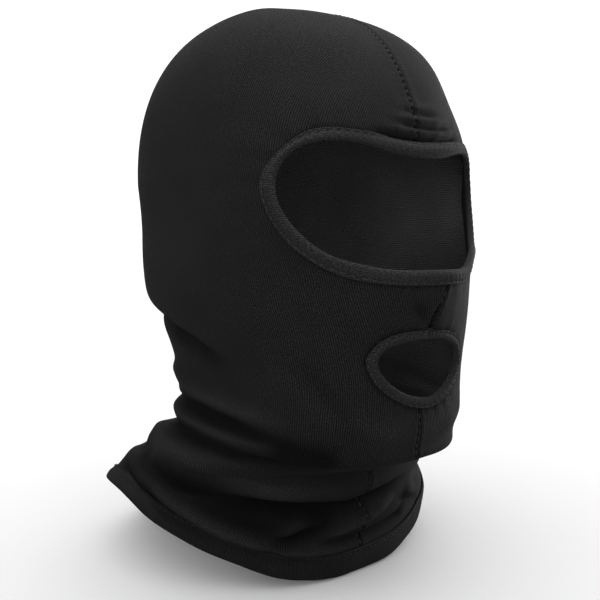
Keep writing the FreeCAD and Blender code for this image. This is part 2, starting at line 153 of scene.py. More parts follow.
# (height in mm, half width above, half width below, run-out at each end, points)
RIGHT = [
    (-2.6, 4.0, 5.5, .25, [(-150, 139), (-128, 139), (-112, 134.5), (-100, 131), (-90, 124.5), (-82, 118), (-70, 112)]),
    (.5, 9.0, 6.0, .30, [(-150, 149), (-128, 149), (-108, 143), (-94, 136), (-82, 129), (-66, 124)]),
    (2.6, 4.5, 5.5, .30, [(-175, 108), (-140, 107), (-108, 104), (-93, 98), (-78, 94.5), (-59, 89), (-44, 85.5)]),
    (-2.6, 3.2, 3.2, .30, [(-178, 95), (-140, 91), (-121, 88.5), (-94, 88), (-76, 86), (-62, 82.5), (-46, 80)]),
    (2.4, 3.5, 4.5, .28, [(-170, 84), (-130, 83), (-111, 82), (-93, 81), (-75, 79), (-57, 76.5), (-44, 75)]),
    (-3.2, 3.5, 3.5, .25, [(-176, 76), (-130, 74), (-102, 74), (-79, 73), (-62, 71), (-45, 69.5), (-32, 70)]),
    (4.2, 6.0, 6.5, .24, [(-152, 69.5), (-130, 68), (-96, 66), (-72, 63.5), (-51, 59), (-36, 54), (-24, 51), (-10, 54)]),
    (-4.6, 3.0, 4.2, .16, [(-150, 60), (-122, 60.5), (-95, 57.5), (-74, 54), (-56, 51.5), (-43, 48), (-33, 44.5), (-24, 41.5), (-15, 39.5), (-7, 38), (-2, 39), (7, 41.5), (15, 44.5), (26, 44)]),
    (1.8, 5.0, 5.0, .35, [(-30, 27), (-25, 32), (-18, 39)]),
    (-2.4, 2.4, 3.2, .35, [(-34, 21), (-27, 25), (-19, 29), (-12, 31)]),
    (2.4, 4.0, 3.5, .30, [(-20, 25.5), (-10, 27.5), (-2, 30), (6, 34), (16, 39)]),
    (-2.4, 2.2, 2.8, .30, [(-20, 20.5), (-12, 20), (-2, 19.5), (8, 21), (18, 24), (24, 32)]),
    (3.0, 4.0, 3.4, .18, [(-140, 62), (-115, 59), (-98, 57), (-74, 50.5), (-57, 40.5), (-43, 30), (-26, 20.5), (-12, 17.5), (6, 16.5)]),
    (-1.8, 1.9, 2.2, .2, [(-120, 54), (-98, 51.5), (-74, 44.5), (-57, 34.5), (-43, 24), (-26, 15.6), (-12, 13.4)]),
    (-1.4, 2.6, 3.0, .35, [(-112, 63), (-98, 61.5), (-86, 60)]),
    (.9, 3.0, 3.0, .3, [(-92, 73), (-78, 70.5), (-60, 66.5), (-44, 62.5), (-34, 60)]),
    (-.9, 2.6, 3.0, .3, [(-104, 70.5), (-88, 69), (-72, 67.5), (-56, 63.5), (-40, 57.5)]),
    (-.8, 2.4, 2.4, .3, [(-70, 61.5), (-58, 57), (-46, 53.5)]),
    (.5, 7.0, 7.0, .35, [(-60, 118), (-48, 106), (-40, 94), (-32, 84)]),
    (-.45, 5.0, 5.0, .35, [(-52, 122), (-40, 108), (-33, 96), (-26, 86)]),
    (.8, 6.0, 6.0, .35, [(-30, 96), (-18, 86), (-6, 82)]),
]
CENTRE = [
    (-2.8, 1.5, 1.8, .2, [(-15, 220.6), (-9, 219.8), (-4, 219.0), (1, 218.8), (8, 219.8), (24, 224)]),
    (.7, 2.2, 1.6, .3, [(-14, 224), (-7, 223.0), (-2, 222.0), (6, 222.2), (20, 227)]),
    (-1.7, 1.3, 1.3, .3, [(-7, 226.0), (-1, 225.0), (4, 224.8), (12, 226.0), (20, 229)]),
    (1.1, 1.8, 1.8, .35, [(-9, 229), (-1, 228), (6, 228), (16, 231)]),
    (-1.0, 1.4, 1.4, .35, [(-4, 232), (3, 231), (10, 232)]),
    (.6, 2.4, 2.4, .35, [(-6, 235), (4, 234), (14, 236)]),
    (-3.2, 1.9, 1.9, .35, [(0, 145), (0, 136), (0, 131)]),
    (-1.3, 3.0, 2.0, .4, [(-14, 146), (-8, 141), (-2, 134)]),
]


def mirrored(folds):
    out = []
    for i, (a, up, dn, run, pts) in enumerate(folds):
        k = [1.5, -2.0, 1.0, 2.5, -1.5][i % 5]
        out.append((a * [.9, 1.05, .8][i % 3], up, dn, run, [(-p[0] * 1.02 + 2, p[1] + k * math.sin(p[0] / 37.0 + i)) for p in pts]))
    return out


def crosses(f):
    return max(p[0] for p in f[4]) > 3


LEFT = mirrored([f for f in RIGHT if not crosses(f)])
# the lines that cross the middle stay as they are, and the left side's ends of them are its own
LEFT += [
    (-4.2, 3.2, 4.2, .2, [(150, 57), (118, 58), (92, 56), (72, 53), (54, 50), (40, 46), (30, 43.5)]),
    (2.3, 4.5, 4.0, .25, [(140, 60), (115, 57), (96, 55), (73, 48), (56, 38.5), (42, 28), (24, 18.5)]),
]


def wave(t, z, seed):
    r = np.random.default_rng(seed)
    out = np.zeros(np.shape(t))
    for _ in range(9):
        kx, kz = r.normal(0, 1 / 26, 2)
        out += np.sin((t * RM) * kx + z * kz + r.uniform(0, 6.28))
    return out / 3


# painted shade and painted highlight that folds() leaves for the panels' shade attribute
PAINTED_FOLD_SHADING = [None]


def folds(t, z):
    out = np.zeros(np.broadcast(t, z).shape)
    fold_painted_shading = np.zeros(out.shape)
    t, z = np.broadcast_arrays(t, z)
    low = z < 165
    tt, zz = t[low], z[low]
    acc = np.zeros(tt.shape)
    painted_shade_and_highlight = np.zeros(tt.shape)
    for group, gain in ((RIGHT, 1.7), (LEFT, 1.0)):
        for a, up, dn, run, pts in group:
            for turn in (0, 2 * np.pi, -2 * np.pi):
                span = [math.radians(p[0]) for p in pts]
                th = tt + turn
                m = (th > min(span) - .35) & (th < max(span) + .35) & (zz > min(p[1] for p in pts) - 30) & (zz < max(p[1] for p in pts) + 30)
                if not m.any():
                    continue
                d, k, side = poly_dist(th[m], zz[m], pts)
                # above the line is the side of greater height
                forward = 1 if pts[-1][0] > pts[0][0] else -1
                wdt = np.where(side * forward > 0, up, dn)
                taper = np.clip(k / run, 0, 1) * np.clip((1 - k) / run, 0, 1)
                taper = taper * taper * (3 - 2 * taper)
                bell = np.exp(-(d / (.88 * wdt)) ** 2) * taper
                acc[m] += gain * a * bell
                # painted shade in each fold's valley and painted highlight on its ridge, apart from the shape
                painted_shade_and_highlight[m] += np.clip(a / 2.6, -1, 1) * np.exp(-(d / ((1.25 if a < 0 else .8) * wdt)) ** 2) * taper
    # the cloth lies nearly level under the jaw, so the folds are shallow there
    acc *= 1 - .62 * np.exp(-((np.abs(tt) - math.radians(47)) / .30) ** 2) * np.exp(-((zz - 57) / 8) ** 2)
    # and at the nape, where the cloth is stretched flatter
    acc *= 1 - .45 * np.clip((np.abs(tt) - math.radians(98)) / .25, 0, 1) * np.clip((zz - 70) / 6, 0, 1) * np.clip((118 - zz) / 8, 0, 1)
    out[low] = acc
    # painted shade only, with no change of shape: dark pockets under the big roll and beside the skirt's folds
    for amount, width, pts in ((-.9, 7.0, [(-96, 52), (-74, 51), (-56, 45), (-43, 38), (-30, 32), (-16, 33)]),
                               (-.7, 6.0, [(-104, 91), (-78, 86), (-60, 82), (-46, 77), (-34, 74)]),
                               (-.55, 8.0, [(-52, 74), (-34, 68), (-14, 66), (6, 66), (22, 66)]),
                               (-.65, 5.0, [(-12, 23.5), (2, 24.5), (14, 30), (22, 38)])):
        for flip in (1, -1):
            d, k, _ = poly_dist(tt * flip, zz, pts)
            painted_shade_and_highlight += amount * np.exp(-(d / width) ** 2)
            if max(p[0] for p in pts) > 3:
                break
    fold_painted_shading[low] = painted_shade_and_highlight
    for a, up, dn, run, pts in CENTRE:
        d, k, side = poly_dist(t, z, pts)
        taper = np.clip(k / run, 0, 1) * np.clip((1 - k) / run, 0, 1)
        if pts[0][0] == pts[-1][0]:
            taper = np.clip(k / run, 0, 1)
        bell = np.exp(-(d / np.where(side > 0, up, dn)) ** 2) * taper
        out += a * bell
        # painted shade in the creases above the eye and at the nose, painted highlight on their ridges
        fold_painted_shading += np.clip(a / 2.0, -1, .3) * bell
    # the cloth stands out a little at the two ends of the eye opening
    ends = np.exp(-((np.abs(t) - math.radians(50)) / math.radians(13)) ** 2) * np.exp(-((z - 196) / 24) ** 2)
    out += 2.6 * ends
    # the skirt is pulled out over the wearer's right shoulder
    out += 2.8 * np.exp(-((z - 56) / 4.5) ** 2) * np.exp(-((t + math.radians(108)) / .5) ** 2)
    # and drawn in under the chin on the other side
    out -= 5.5 * np.exp(-((z - 40) / 11) ** 2) * np.exp(-((t - math.radians(54)) / .38) ** 2)
    # flatter brow corners and jaw corners than a round section
    corner = np.exp(-((np.abs(t) - math.radians(34)) / .38) ** 2)
    out -= 3.0 * corner * np.exp(-((z - 248) / 21) ** 2) + 2.8 * corner * np.exp(-((z - 78) / 10) ** 2)
    PAINTED_FOLD_SHADING[0] = fold_painted_shading
    amp = 0.22 + 0.55 * np.exp(-((z - 75) / 50) ** 2)
    return out + amp * wave(t, z, 3)


STITCH = 3.6


def lean(t, z):
    """the seam leans to the wearer's left under the eye opening"""
    return 3.4 * np.exp(-((z - 152) / 11) ** 2) * np.exp(-(t * RM / 16) ** 2)


def shape(t, w, fine=True, arc=None):
    """the outer face of the cloth and its outward direction"""
    z = height(t, w)
    z = np.minimum(z, TOP)
    e = 2e-3

    def put(t, z):
        p = base(t, z)
        return p
    p = put(t, z)
    dt = put(t + e, z) - put(t - e, z)
    dz = put(t, np.minimum(z + .4, TOP)) - put(t, np.minimum(z, TOP) - .4)
    n = np.cross(dt, dz)
    ln = np.linalg.norm(n, axis=-1, keepdims=True)
    n = np.where(ln > 1e-9, n / np.maximum(ln, 1e-12), np.array([0, 0, 1.0]))
    up = np.clip((z - (TOP - .8)) / .8, 0, 1)[..., None]
    n = n * (1 - up) + np.array([0, 0, 1.0]) * up
    n /= np.linalg.norm(n, axis=-1, keepdims=True)
    flip = np.sign((n * (p - np.stack([0 * z, 0 * z - 10 + 30 * (z < 60), np.minimum(z, 200)], -1))).sum(-1, keepdims=True))
    n = n * np.where(flip == 0, 1, flip)
    d = folds(t, z)
    q = p + n * d[..., None]
    q[..., 0] += lean(t, z)
    return q, n


# ------------------------------------------------------------------ outlines of the two openings
EYE_IN = [(0, 210.5), (16.9, 211.4), (28.9, 214.8), (38.3, 216.4), (46, 216.4), (52.7, 214.8), (56.8, 211.4), (59.5, 205.5),
          (61, 197.5), (60.6, 191.5), (59.1, 184.5), (55.9, 177.5), (51.1, 171), (45, 165.5), (36.9, 163), (28.4, 160.5), (18.5, 159.5), (0, 159.7)]
EYE_OUT = [(0, 217.5), (20.7, 219.8), (31.5, 220.6), (41.2, 222.3), (51.2, 220.6), (59, 213.1), (62.6, 206), (64.5, 199),
           (64.1, 190.5), (62, 181), (58.4, 173), (53.3, 166.5), (47.2, 160.8), (39.4, 157), (30.9, 154.6), (21.5, 153.2), (0, 153)]
MOUTH_OUT = [(-31.7, 120.5), (-26.5, 128.5), (-17.7, 132.5), (-1.3, 132.5), (13.4, 131), (23.9, 126.5), (29.2, 117),
             (28.2, 107), (22.4, 100), (11.4, 95.5), (2.2, 94.5), (-9.5, 97.5), (-19, 103), (-26.6, 110)]
MOUTH_IN = [(-26.3, 119.5), (-23.8, 125), (-16.8, 127.5), (-3.8, 128.5), (9, 127.5), (18.9, 124), (24.6, 117.5),
            (23.4, 109.5), (17.1, 103.5), (8.7, 99.5), (.9, 100), (-8.5, 102.5), (-18, 108), (-24, 114.5)]


def closed_smooth(pts, n=720, sigma=9):
    p = np.array(pts, float)
    q = np.vstack([p, p[:1]])
    cum = np.r_[0, np.cumsum(np.linalg.norm(np.diff(q, axis=0), axis=1))]
    s = np.linspace(0, cum[-1], n, endpoint=False)
    r = np.stack([np.interp(s, cum, q[:, 0]), np.interp(s, cum, q[:, 1])], -1)
    k = np.exp(-.5 * (np.arange(-4 * sigma, 4 * sigma + 1) / sigma) ** 2)
    k /= k.sum()
    m = len(k) // 2
    return np.stack([np.convolve(np.r_[r[-m:, i], r[:, i], r[:m, i]], k, "valid") for i in (0, 1)], -1)


def whole(half):
    """the +x half, top to bottom, made into a full clockwise loop"""
    return list(half) + [(-x, z) for x, z in half[-2:0:-1]]


def paired(inner, outer, centre, scale, n):
    """both loops resampled so that the same index faces the same way out of the centre"""
    def ang(p):
        return np.unwrap(np.arctan2((p[:, 1] - centre[1]) / scale[1], (p[:, 0] - centre[0]) / scale[0]))

    def at(p, a):
        k = ang(p)
        if k[-1] < k[0]:
            p, k = p[::-1], k[::-1]
        k = np.r_[k - 2 * np.pi, k, k + 2 * np.pi]
        pp = np.vstack([p, p, p])
        return np.stack([np.interp(a, k, pp[:, 0]), np.interp(a, k, pp[:, 1])], -1)
    a = np.linspace(0, 2 * np.pi, 2000, endpoint=False)
    mid = (at(inner, a) + at(outer, a)) / 2
    c = np.r_[0, np.cumsum(np.linalg.norm(np.diff(np.vstack([mid, mid[:1]]), axis=0), axis=1))]
    aa = np.interp(np.linspace(0, c[-1], n, endpoint=False), c, np.r_[a, 2 * np.pi])
    return at(inner, aa), at(outer, aa)


def t_of(x, z):
    yf, yb, a, nf, nb, sh = params(z)
    return np.sign(x) * np.arcsin(np.clip(np.abs(x) / a, 0, 1) ** (nf / 2))


def far_corner(p):
    """the lower corner on the wearer's left is drawn up by the nose"""
    q = p.copy()
    q[:, 1] += 6.0 * np.exp(-((p[:, 0] - 37) / 13) ** 2) * np.clip((182 - p[:, 1]) / 14, 0, 1)
    return q


eye_i, eye_o = paired(far_corner(closed_smooth(whole(EYE_IN))), far_corner(closed_smooth(whole(EYE_OUT))), (0, 187), (62, 31), 330)
mouth_i, mouth_o = paired(closed_smooth(MOUTH_IN, 720, 14), closed_smooth(MOUTH_OUT, 720, 14), (-1, 114), (27, 16), 150)


def inside(poly, x, z):
    """point in polygon, vectorised"""
    n = len(poly)
    r = np.zeros(x.shape, bool)
    for i in range(n):
        x1, z1 = poly[i]
        x2, z2 = poly[(i + 1) % n]
        if z1 == z2:
            continue
        m = ((z1 > z) != (z2 > z)) & (x < (x2 - x1) * (z - z1) / (z2 - z1) + x1)
        r ^= m
    return r


# ------------------------------------------------------------------ materials
def new_mat(name):
    m = bpy.data.materials.new(name)
    m.use_nodes = True
    t = m.node_tree
    b = t.nodes["Principled BSDF"]
    return m, t, b


def knit(name, colour, wale, course, depth, purl=False, sheen=.008, rough=.88, spec=.02, fuzz=.7, lines=1.25, speck=3.0, with_painted_shading=False):
    """fine jersey: wales with a V in each stitch outside, rows of loops inside"""
    m, t, b = new_mat(name)
    N, L = t.nodes.new, t.links.new

    def math_(op, a, b2=None, c=None):
        n = N("ShaderNodeMath")
        n.operation = op
        for i, v in enumerate((a, b2, c)):
            if v is None:
                continue
            if isinstance(v, (int, float)):
                n.inputs[i].default_value = v
            else:
                L(v, n.inputs[i])
        return n.outputs[0]
    uv = N("ShaderNodeUVMap")
    uv.uv_map = "cloth"
    noise = N("ShaderNodeTexNoise")
    noise.inputs["Scale"].default_value = 60
    noise.inputs["Detail"].default_value = 2
    L(uv.outputs[0], noise.inputs["Vector"])
    sep = N("ShaderNodeSeparateXYZ")
    L(uv.outputs[0], sep.inputs[0])
    nx = math_("MULTIPLY", math_("SUBTRACT", noise.outputs["Fac"], .5), .0016)
    u = math_("ADD", sep.outputs[0], nx)
    v = math_("ADD", sep.outputs[1], nx)
    fu = math_("FRACT", math_("DIVIDE", u, wale))
    a = math_("ABSOLUTE", math_("SUBTRACT", math_("MULTIPLY", fu, 2), 1))
    ridge = math_("SUBTRACT", 1, math_("POWER", a, 2.2))
    if purl:
        fv = math_("DIVIDE", v, course)
        wob = math_("MULTIPLY", math_("SINE", math_("MULTIPLY", u, 2 * math.pi / wale)), .18)
        rows = math_("ABSOLUTE", math_("SINE", math_("MULTIPLY", math_("ADD", fv, wob), math.pi)))
        h = math_("ADD", math_("MULTIPLY", rows, .8), math_("MULTIPLY", ridge, .2))
    else:
        fv = math_("ADD", math_("DIVIDE", v, course), math_("MULTIPLY", a, .62))
        loops = math_("ABSOLUTE", math_("SINE", math_("MULTIPLY", fv, math.pi)))
        h = math_("ADD", math_("MULTIPLY", ridge, .72), math_("MULTIPLY", math_("MULTIPLY", loops, ridge), .28))
    fine = N("ShaderNodeTexNoise")
    fine.inputs["Scale"].default_value = 1300
    fine.inputs["Detail"].default_value = 4
    L(uv.outputs[0], fine.inputs["Vector"])
    hh = math_("ADD", h, math_("MULTIPLY", fine.outputs["Fac"], fuzz))
    bump = N("ShaderNodeBump")
    bump.inputs["Strength"].default_value = 1.0
    bump.inputs["Distance"].default_value = depth
    L(hh, bump.inputs["Height"])
    L(bump.outputs[0], b.inputs["Normal"])
    # yarn tone: darker between the loops, with slow unevenness and a few paler fibres
    slow = N("ShaderNodeTexNoise")
    slow.inputs["Scale"].default_value = 38
    slow.inputs["Detail"].default_value = 3
    L(uv.outputs[0], slow.inputs["Vector"])
    tone = math_("MULTIPLY", math_("ADD", math_("MULTIPLY", h, lines), .22 + .55 * (1.25 - lines)),
                 math_("ADD", math_("MULTIPLY", slow.outputs["Fac"], .5), .75))
    tone = math_("MULTIPLY", tone, math_("MAXIMUM", math_("ADD", math_("MULTIPLY", fine.outputs["Fac"], speck), 1 - speck / 2), .25))
    lint = N("ShaderNodeTexNoise")
    lint.inputs["Scale"].default_value = 620
    lint.inputs["Detail"].default_value = 1
    L(uv.outputs[0], lint.inputs["Vector"])
    dots = math_("MULTIPLY", math_("MAXIMUM", math_("SUBTRACT", lint.outputs["Fac"], .72), 0), 22)
    tone = math_("ADD", tone, dots)
    if with_painted_shading:
        # painted shade and painted highlight: the shade attribute darkens the cloth in fold valleys, in the pockets
        # under rolls, along the bindings' outer edges and in the seam groove, and lightens a roll's top
        att = N("ShaderNodeAttribute")
        att.attribute_name = "shade"
        tone = math_("MULTIPLY", tone, math_("MAXIMUM", att.outputs["Fac"], .12))
    mix = N("ShaderNodeMix")
    mix.data_type = "RGBA"
    mix.blend_type = "MULTIPLY"
    mix.inputs["Factor"].default_value = 1.0
    mix.inputs["A"].default_value = (*colour, 1)
    comb = N("ShaderNodeCombineColor")
    for i in range(3):
        L(tone, comb.inputs[i])
    L(comb.outputs[0], mix.inputs["B"])
    L(mix.outputs["Result"], b.inputs["Base Color"])
    rr = math_("ADD", math_("MULTIPLY", fine.outputs["Fac"], .12), rough - .06)
    L(rr, b.inputs["Roughness"])
    b.inputs["Specular IOR Level"].default_value = spec
    b.inputs["Sheen Weight"].default_value = sheen
    b.inputs["Sheen Roughness"].default_value = .45
    b.inputs["Sheen Tint"].default_value = (.6, .6, .62, 1)
    return m


def thread_mat(name, colour):
    m, t, b = new_mat(name)
    N, L = t.nodes.new, t.links.new
    co = N("ShaderNodeTexCoord")
    w = N("ShaderNodeTexWave")
    w.inputs["Scale"].default_value = 1500
    w.inputs["Distortion"].default_value = 1.5
    L(co.outputs["Object"], w.inputs["Vector"])
    bump = N("ShaderNodeBump")
    bump.inputs["Strength"].default_value = .8
    bump.inputs["Distance"].default_value = .00008
    L(w.outputs["Fac"], bump.inputs["Height"])
    L(bump.outputs[0], b.inputs["Normal"])
    ramp = N("ShaderNodeMix")
    ramp.data_type = "RGBA"
    ramp.inputs["A"].default_value = tuple(c * .6 for c in colour) + (1,)
    ramp.inputs["B"].default_value = tuple(c * 1.5 for c in colour) + (1,)
    L(w.outputs["Fac"], ramp.inputs["Factor"])
    L(ramp.outputs["Result"], b.inputs["Base Color"])
    b.inputs["Roughness"].default_value = .7
    b.inputs["Specular IOR Level"].default_value = .08
    return m


JERSEY = (.0040, .0040, .0042)
m_out = knit("jersey_outside", JERSEY, .00105, .00085, .00030, lines=1.45, with_painted_shading=True)
# painted light: the inside face is about nine times paler than the outside, so the inside seen through the openings
# looks lit like the outside
m_inside_painted_light = knit("jersey_inside_painted_light", (.0350, .0350, .0360), .00105, .0013, .0004, purl=True, fuzz=.7)
m_bind = knit("binding_jersey", (.0076, .0076, .0079), .0010, .0013, .0003, fuzz=1.6, lines=.55, speck=4.2)
m_hem = knit("hem_jersey", JERSEY, .00105, .00085, .00030)
m_allow = knit("allowance_jersey", (.010, .010, .0104), .0009, .0011, .0003, purl=True, fuzz=.6)
m_thread = thread_mat("sewing_thread", (.0080, .0080, .0083))
m_top = thread_mat("binding_thread", (.0125, .0125, .0129))


# ------------------------------------------------------------------ mesh helpers
def make(name, verts, faces, uv=None, mats=(), face_mat=None, shade=None):
    me = bpy.data.meshes.new(name)
    me.from_pydata((np.asarray(verts, float) * MM).tolist(), [], [tuple(int(i) for i in f) for f in faces])
    if uv is not None:
        lay = me.uv_layers.new(name="cloth")
        idx = np.zeros(len(me.loops), int)
        me.loops.foreach_get("vertex_index", idx)
        lay.data.foreach_set("uv", (np.asarray(uv, float)[idx] * MM).astype(np.float32).ravel())
    if shade is not None:
        at = me.attributes.new("shade", "FLOAT", "POINT")
        at.data.foreach_set("value", np.asarray(shade, np.float32))
    for m in mats:
        me.materials.append(m)
    if face_mat is not None:
        me.polygons.foreach_set("material_index", np.asarray(face_mat, np.int32))
    me.polygons.foreach_set("use_smooth", np.ones(len(me.polygons), bool))
    me.update()
    o = bpy.data.objects.new(name, me)
    bpy.context.scene.collection.objects.link(o)
    return o


def clean(o, dist=.02):
    import bmesh
    bm = bmesh.new()
    bm.from_mesh(o.data)
    bmesh.ops.remove_doubles(bm, verts=bm.verts, dist=dist * MM)
    bmesh.ops.dissolve_degenerate(bm, edges=bm.edges, dist=1e-7)
    bm.to_mesh(o.data)
    bm.free()
    o.data.update()


def thicken(o, mm, offset=-1, inner_mat=0, rim_mat=0):
    s = o.modifiers.new("cloth", "SOLIDIFY")
    s.thickness = mm * MM
    s.offset = offset
    s.material_offset = inner_mat
    s.material_offset_rim = rim_mat
    dg = bpy.context.evaluated_depsgraph_get()
    me = bpy.data.meshes.new_from_object(o.evaluated_get(dg))
    o.modifiers.clear()
    old = o.data
    o.data = me
    bpy.data.meshes.remove(old)


def grid_faces(nr, nc, wrap=False, flip=False):
    r = np.arange(nr - 1)[:, None]
    c = np.arange(nc if wrap else nc - 1)[None, :]
    c2 = (c + 1) % nc
    a, b, d, e = r * nc + c, r * nc + c2, (r + 1) * nc + c2, (r + 1) * nc + c
    f = np.stack([a, b, d, e], -1).reshape(-1, 4)
    return f[:, ::-1] if flip else f


# ------------------------------------------------------------------ the two panels
GRADE = np.array([0, .35, .7, 1.1, 1.6, 2.2, 3.0, 4.0, 5.2, 6.6])
STEP = 1.35
ROWS = list(np.arange(11.0, 208.0, 1.3))
phi = np.linspace(0, np.pi / 2, 118)
ROWS += list(208 + (TOP - 208) * np.sin(phi[:-1]))
ROWS += [TOP - .001, TOP]
ROWS = np.array(ROWS)


def panel(name, sign):
    half = np.pi / 2 * (1 - np.cos(np.linspace(0, np.pi, 1200)))
    nc = 2 * len(GRADE) + 176
    tt = np.zeros((len(ROWS), nc))
    arc = np.zeros_like(tt)
    tot = np.zeros(len(ROWS))
    u0 = np.zeros(len(ROWS))
    for i, w in enumerate(ROWS):
        z = height(half * sign, np.full(half.shape, w))
        p = base(half, np.minimum(z, TOP))
        c = np.r_[0, np.cumsum(np.linalg.norm(np.diff(p, axis=0), axis=1))]
        total = max(c[-1], 1e-6)
        g = GRADE * min(1, total / 60)
        mid = np.linspace(g[-1], total - g[-1], 178)[1:-1]
        s = np.r_[g, mid, (total - g)[::-1]]
        tt[i] = np.interp(s, c, half)
        arc[i] = s
        tot[i] = total
        u0[i] = np.interp(np.pi / 2, half, c)
    tt *= sign
    W = np.repeat(ROWS[:, None], nc, 1)
    P, n = shape(tt, W)
    fold_painted_shading = PAINTED_FOLD_SHADING[0]
    z = height(tt, W)
    # cut edges are drawn together and turned in along the middle seam, with a pucker at every stitch
    near = np.minimum(arc, tot[:, None] - arc)
    dz = np.r_[0, np.cumsum(np.linalg.norm(np.diff(base(tt[:, 0], np.minimum(height(tt[:, 0], ROWS), TOP)), axis=0), axis=1))]
    dzb = np.r_[0, np.cumsum(np.linalg.norm(np.diff(base(tt[:, -1], np.minimum(height(tt[:, -1], ROWS), TOP)), axis=0), axis=1))]
    run = np.where(arc < tot[:, None] / 2, dz[:, None], dzb[:, None])
    beat = np.cos(2 * np.pi * run / STITCH)
    dip = -(1.15 + .55 * beat) * np.exp(-(near / 1.05) ** 2) + (.16 * beat + .22) * np.exp(-((near - 2.3) / 1.6) ** 2)
    fade = np.clip((tot[:, None] - 6) / 30, .25, 1)
    # small pulls in the cloth round the bindings
    x, zz = P[..., 0], z
    pull = np.zeros_like(z)
    binding_edge_painted_shade = np.zeros_like(z)
    for loop, cen, amp, pitch, reach in ((eye_o, (0, 187), .30, 9.0, 7.0), (mouth_o, (-1, 114), .28, 6.5, 5.0)):
        front = (np.abs(tt) < 1.45) & (zz > cen[1] - 55) & (zz < cen[1] + 55)
        xs, zs = x[front], zz[front]
        q = np.stack([xs, zs], -1)
        dmin = np.full(len(xs), 1e9)
        kk = np.zeros(len(xs))
        cum = np.r_[0, np.cumsum(np.linalg.norm(np.diff(loop, axis=0), axis=1))]
        for i in range(0, len(loop), 2):
            d = np.hypot(q[:, 0] - loop[i, 0], q[:, 1] - loop[i, 1])
            m = d < dmin
            dmin[m] = d[m]
            kk[m] = cum[i]
        pull[front] += amp * np.cos(2 * np.pi * kk / pitch + 1.3 * np.sin(kk / 17.0)) * np.exp(-dmin / reach) - .35 * np.exp(-(dmin / 1.5) ** 2)
        # painted shade: a dark line in the cloth's colour along each binding's outer edge
        binding_edge_painted_shade[front] = np.maximum(binding_edge_painted_shade[front], np.exp(-(dmin / 1.25) ** 2))
    P = P + n * (dip * fade + pull)[..., None]
    P[:, 0, 0] = sign * .02 + lean(0 * z[:, 0], z[:, 0])
    P[:, -1, 0] = sign * .02
    # cloth coordinates: across from the side line, and up the cloth
    side = np.argmin(np.abs(np.abs(tt[0]) - np.pi / 2))
    col = np.linalg.norm(np.diff(P[:, ::1], axis=0), axis=2)
    v = np.vstack([np.zeros(nc), np.cumsum(col, axis=0)])
    vs = v[:, side][:, None]
    v = .5 * vs + .5 * v
    ua = arc - u0[:, None]
    uy = P[..., 1] - P[:, side, 1][:, None]
    b = .55 * np.clip((z - 215) / 60, 0, 1)
    u = ua * (1 - b) + uy * b
    uv = np.stack([u, v], -1).reshape(-1, 2)
    faces = grid_faces(len(ROWS), nc, flip=(sign < 0))
    flat = P.reshape(-1, 3)
    Bx = base(tt, np.minimum(z, TOP))
    bx, bz = Bx[..., 0].ravel()[faces].mean(1), z.ravel()[faces].mean(1)
    fy = np.abs(tt.ravel()[faces]).max(1) < 1.5
    em, mm = (eye_i + eye_o) / 2, (mouth_i + mouth_o) / 2
    cut = fy & (inside(em, bx, bz) | inside(mm, bx, bz))
    # painted shade and highlight in the shade attribute: fold valleys and pockets darker, roll tops lighter, then
    # painted shade at the bindings' edges and in the middle seam's groove, less of it below 62 mm
    shade = 1 + .55 * np.clip(fold_painted_shading, 0, 1) - .72 * np.clip(-fold_painted_shading, 0, 1)
    shade *= 1 - .62 * binding_edge_painted_shade
    shade *= 1 - (.62 - .34 * (z < 62)) * np.exp(-(near / 1.0) ** 2) * fade
    o = make(name, flat, faces[~cut], uv, [m_out, m_inside_painted_light], shade=shade.ravel())
    clean(o)
    thicken(o, .85, offset=-1, inner_mat=1, rim_mat=1)
    return o


right = panel("right_panel_cloth", -1)
left = panel("left_panel_cloth", 1)


# ------------------------------------------------------------------ bound edges
def on_surface(x, z):
    t = t_of(x, z)
    w = np.where(z >= BL, z, (z - hem(t)) / (1 - hem(t) / BL))
    return shape(t, w)


def binding(name, inner, outer, mat, prof, pucker, phase=0.0):
    n = len(inner)
    mid = (inner + outer) / 2
    run = np.r_[0, np.cumsum(np.linalg.norm(np.diff(mid, axis=0), axis=1))]
    total = run[-1] + np.linalg.norm(mid[0] - mid[-1])
    count = round(total / STITCH)
    beat = np.cos(2 * np.pi * run / total * count + phase)
    rows = []
    uvs = []
    path = 0
    last = None
    for j, (q, h) in enumerate(prof):
        wob = .035 * np.sin(run / 11.0 + 1.7) + .02 * np.sin(run / 4.1)
        qq = q + (wob if q > .9 else 0)
        k = inner + (outer - inner) * (qq[:, None] if np.ndim(qq) else qq)
        P, nn = on_surface(k[:, 0], k[:, 1])
        near = math.exp(-((q - .84) / .13) ** 2)
        puff = math.exp(-((q - .42) / .25) ** 2)
        hh = h + (pucker * beat * near + .16 * puff * beat + .18 * puff * np.sin(run / 13.0 + 2)) * (1 if h > 0 else 0)
        rows.append(P + nn * hh[:, None])
        if last is not None:
            path += float(np.linalg.norm(rows[-1] - last, axis=1).mean())
        last = rows[-1]
        uvs.append(np.stack([run, np.full(n, path)], -1))
    nr = len(rows)
    # the seam of the cloth coordinates is doubled so that the texture doesn't run back over one column
    V = np.stack([np.vstack([r, r[:1]]) for r in rows])
    U = np.stack([np.vstack([k, [[total, k[0, 1]]]]) for k in uvs])
    f = grid_faces(nr, n + 1)
    o = make(name, V.reshape(-1, 3), f, U.reshape(-1, 2), [mat, m_inside_painted_light])
    clean(o, .01)
    me = o.data
    # outward test on the outside rows
    vv = np.array([x.co for x in me.vertices])
    k = me.polygons[len(me.polygons) // (nr - 1) * 4]
    t, w = None, None
    P, nn = on_surface(np.array([k.center.x / MM]), np.array([min(k.center.z / MM, 240)]))
    if k.normal.dot(Vector(nn[0])) < 0:
        me.flip_normals()
    thicken(o, .75, offset=-1)
    return o, run, total, count


